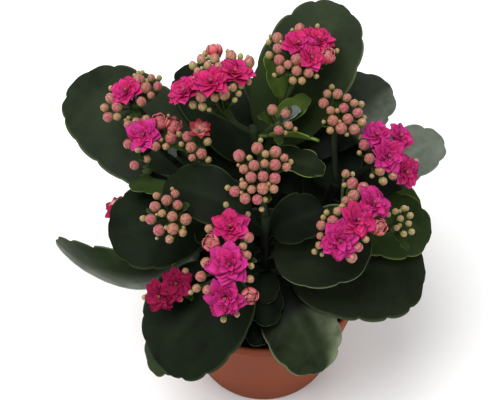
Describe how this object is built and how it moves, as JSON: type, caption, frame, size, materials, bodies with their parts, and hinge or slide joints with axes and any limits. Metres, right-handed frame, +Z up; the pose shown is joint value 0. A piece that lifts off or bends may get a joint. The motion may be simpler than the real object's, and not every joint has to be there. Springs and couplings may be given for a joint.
{
  "type": "potted kalanchoe",
  "caption": "Double-flowered kalanchoe with broad scalloped leaves and domed heads of star blooms and round buds, in a tapered round plastic pot.",
  "frame": {"origin": "middle of the pot's base, on the plane it stands on", "axes": "+Z up out of the pot, +Y to the back of the plant, +X to its right as seen from the front"},
  "size_m": [0.1931, 0.1678, 0.1974],
  "materials": {
    "terracotta_plastic": "moulded, low sheen",
    "potting_soil": "loose, dark peat",
    "leaf_green": "waxy, satin",
    "stem_green": "waxy, satin",
    "flower_pink": "soft petal",
    "bud_salmon": "waxy bud"
  },
  "bodies": {
    "root": {"pot": "terracotta_plastic", "soil": "potting_soil", "stem_left": "stem_green", "stem_back": "stem_green", "stem_right": "stem_green", "stem_front": "stem_green", "leafUpperLeft": "leaf_green", "leafTop": "leaf_green", "leafUpperRight": "leaf_green", "leafFarRight": "leaf_green", "leafRightRear": "leaf_green", "leafRight": "leaf_green", "leafLowerRight": "leaf_green", "leafFrontRight": "leaf_green", "leafCentreRight": "leaf_green", "leafLeft": "leaf_green", "leafCentreLeft": "leaf_green", "leafFarLeft": "leaf_green", "leafLowerLeft": "leaf_green", "leafLowestLeft": "leaf_green", "leafFront": "leaf_green", "leafLowerFront": "leaf_green", "leafBackLeft": "leaf_green", "leafBack": "leaf_green", "leafBackRight": "leaf_green", "leafLowBackLeft": "leaf_green", "leafCentreRear": "leaf_green", "leafInnerLeft": "leaf_green", "leafInnerRight": "leaf_green", "leafInnerFront": "leaf_green", "leafCentre": "leaf_green", "leafFrontLow": "leaf_green", "leafFrontMiddle": "leaf_green", "leafHighRight": "leaf_green", "leafMidLeft": "leaf_green", "headUpperLeft": "flower_pink", "headLeft": "flower_pink", "headInnerLeft": "flower_pink", "headBackLeft": "flower_pink", "headBack": "flower_pink", "headRear": "bud_salmon", "headInner": "bud_salmon", "headCentre": "bud_salmon", "headFrontLeft": "bud_salmon", "headRight": "flower_pink", "headFrontRight": "flower_pink", "headFarRight": "bud_salmon", "headFront": "flower_pink", "headLowLeft": "flower_pink", "headFarLeft": "bud_salmon", "headUpperInner": "bud_salmon"}
  },
  "joints": []
}
